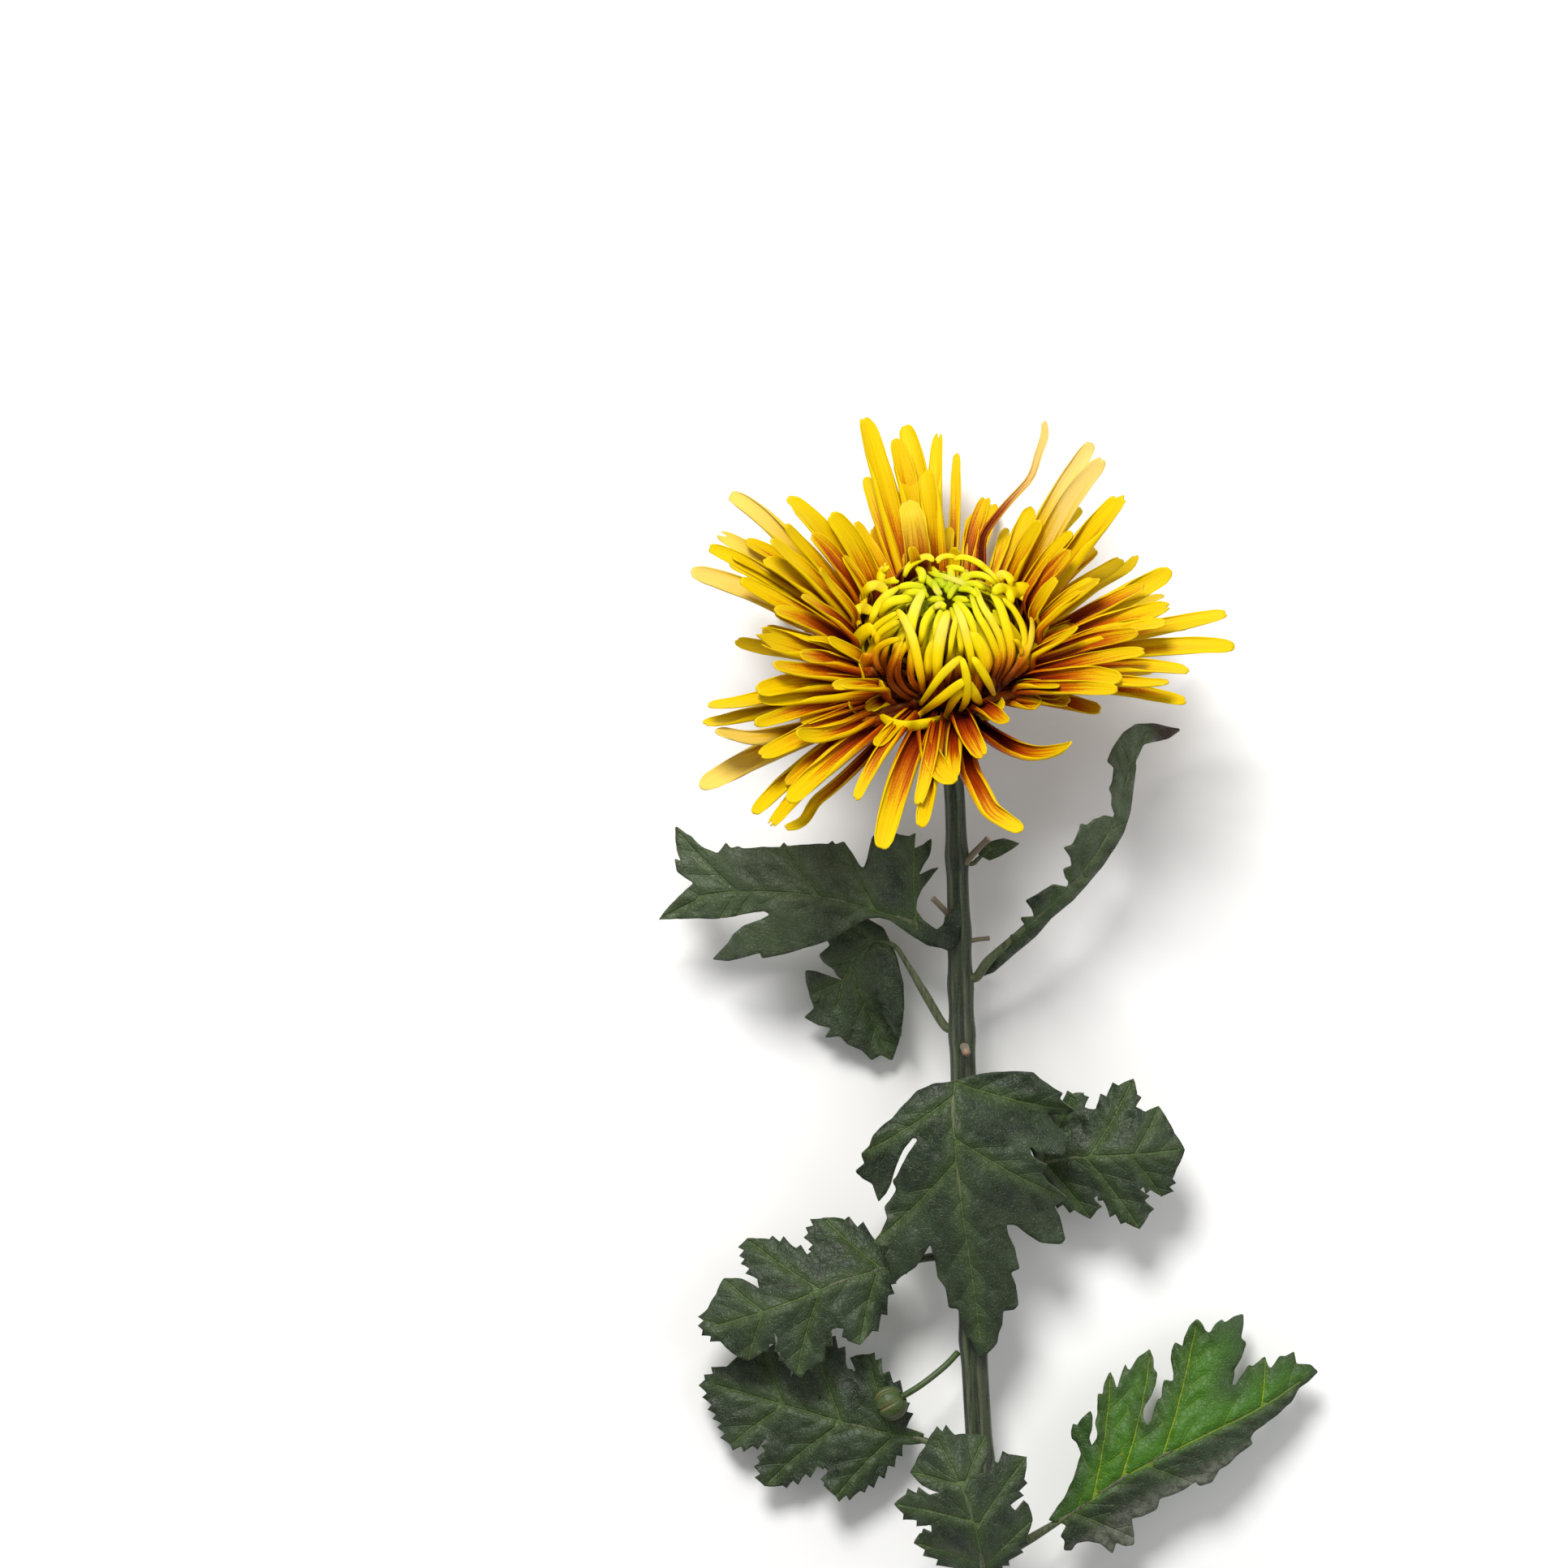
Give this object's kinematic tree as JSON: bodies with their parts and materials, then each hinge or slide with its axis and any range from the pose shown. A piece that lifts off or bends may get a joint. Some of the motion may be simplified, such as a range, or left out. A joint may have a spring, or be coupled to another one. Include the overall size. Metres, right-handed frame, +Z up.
{
  "type": "spider chrysanthemum",
  "caption": "Cut spider chrysanthemum stem with a yellow and rust bloom, lobed leaves and a side bud, lying down.",
  "frame": {"origin": "centre of the bounding box's base, on the surface that the stem lies on", "axes": "+Y along the stem towards the bloom, +Z up from the surface"},
  "size_m": [0.1651, 0.4553, 0.0876],
  "materials": {
    "outer_petal": "satin petal, yellow over rust at the root",
    "inner_petal": "satin petal, lime green",
    "leaf_green": "dull leaf with fine hairs",
    "stem_green": "ribbed green stem with fine hairs"
  },
  "bodies": {
    "root": {"outer_petals": "outer_petal", "inner_petals": "inner_petal", "calyx": "leaf_green", "stem": "stem_green", "bud": "stem_green", "leaf_upper_left": "leaf_green", "leaf_upper_right": "leaf_green", "leaf_hanging_left": "leaf_green", "leaf_front": "leaf_green", "leaf_middle_right": "leaf_green", "leaf_middle_left": "leaf_green", "leaf_lower_right": "leaf_green", "leaf_lower_left": "leaf_green", "leaf_top": "leaf_green", "leaf_low_right": "leaf_green", "leaf_low_left": "leaf_green", "bract_leaf": "leaf_green"}
  },
  "joints": []
}
